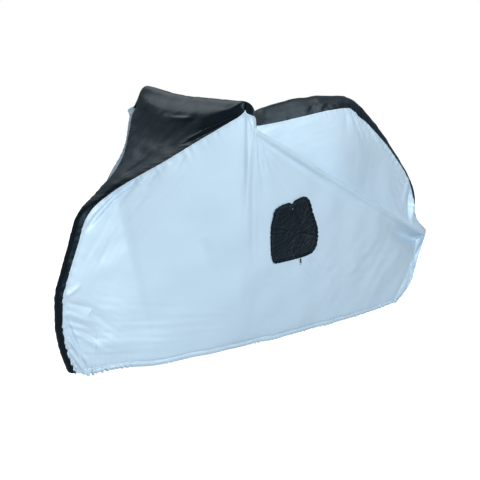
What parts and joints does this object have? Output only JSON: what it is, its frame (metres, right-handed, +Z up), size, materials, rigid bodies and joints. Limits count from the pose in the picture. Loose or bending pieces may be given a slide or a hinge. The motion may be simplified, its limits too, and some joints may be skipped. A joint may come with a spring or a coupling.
{
  "type": "bicycle cover",
  "caption": "Fitted cloth cover for a bicycle: silver sides, black hood and spine, a small pocket on one side, open along its drawn-in lower edge.",
  "frame": {"origin": "the point under the hump's crown, on the middle plane, on which the cover hangs", "axes": "+X from the nose to the tail, +Y to the far side, +Z up; the pocket is on the -Y side"},
  "size_m": [1.9723, 0.7114, 1.0557],
  "materials": {
    "silver_cloth": "silver coated nylon, soft satin sheen",
    "black_cloth": "black nylon with a thin matt coating",
    "black_plastic": "moulded, matt"
  },
  "bodies": {
    "root": {"near_side_panel": "silver_cloth", "far_side_panel": "silver_cloth", "hood_panel": "black_cloth", "spine_panel": "black_cloth", "pocket": "black_cloth", "pocket_piping": "black_cloth", "zip_puller": "black_plastic"}
  },
  "joints": []
}
